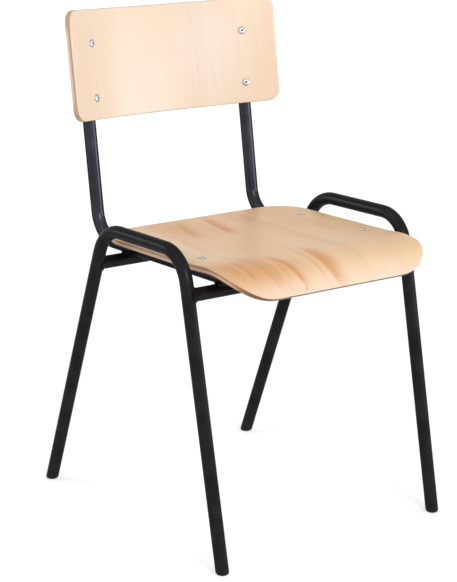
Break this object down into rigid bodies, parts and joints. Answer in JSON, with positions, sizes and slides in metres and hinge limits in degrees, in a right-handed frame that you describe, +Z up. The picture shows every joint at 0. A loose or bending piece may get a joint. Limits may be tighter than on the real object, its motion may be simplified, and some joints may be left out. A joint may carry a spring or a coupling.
{
  "type": "canteen chair",
  "caption": "Stacking canteen chair: bent steel tube frame with side rails, a moulded plywood seat with a waterfall front and a curved plywood backrest, fixed with blind rivets.",
  "frame": {"origin": "on the floor, under the middle of the overall box", "axes": "+Z up, the chair faces -Y, +X to the sitter's left"},
  "size_m": [0.4724, 0.5584, 0.8433],
  "materials": {
    "frame_black": "satin black powder coat",
    "plywood": "clear lacquered beech veneer",
    "plastic_black": "moulded black plastic",
    "rivet": "plain aluminium",
    "mandrel": "broken steel wire"
  },
  "bodies": {
    "root": {"left_side_frame": "frame_black", "left_seat_back_tube": "frame_black", "right_side_frame": "frame_black", "right_seat_back_tube": "frame_black", "front_cross_tube": "frame_black", "rear_cross_tube": "frame_black", "front_left_leg_weld": "frame_black", "front_left_crossing_weld": "frame_black", "front_right_leg_weld": "frame_black", "front_right_crossing_weld": "frame_black", "rear_left_leg_weld": "frame_black", "rear_left_crossing_weld": "frame_black", "rear_right_leg_weld": "frame_black", "rear_right_crossing_weld": "frame_black", "plywood_seat": "plywood", "plywood_backrest": "plywood", "front_left_foot_glide": "plastic_black", "front_right_foot_glide": "plastic_black", "rear_left_foot_glide": "plastic_black", "rear_right_foot_glide": "plastic_black", "left_upright_plug": "plastic_black", "left_seat_tube_plug": "plastic_black", "right_upright_plug": "plastic_black", "right_seat_tube_plug": "plastic_black", "seat_rivet_bodies": "rivet", "backrest_rivet_bodies": "rivet", "seat_rivet_mandrels": "mandrel", "backrest_rivet_mandrels": "mandrel"}
  },
  "joints": []
}
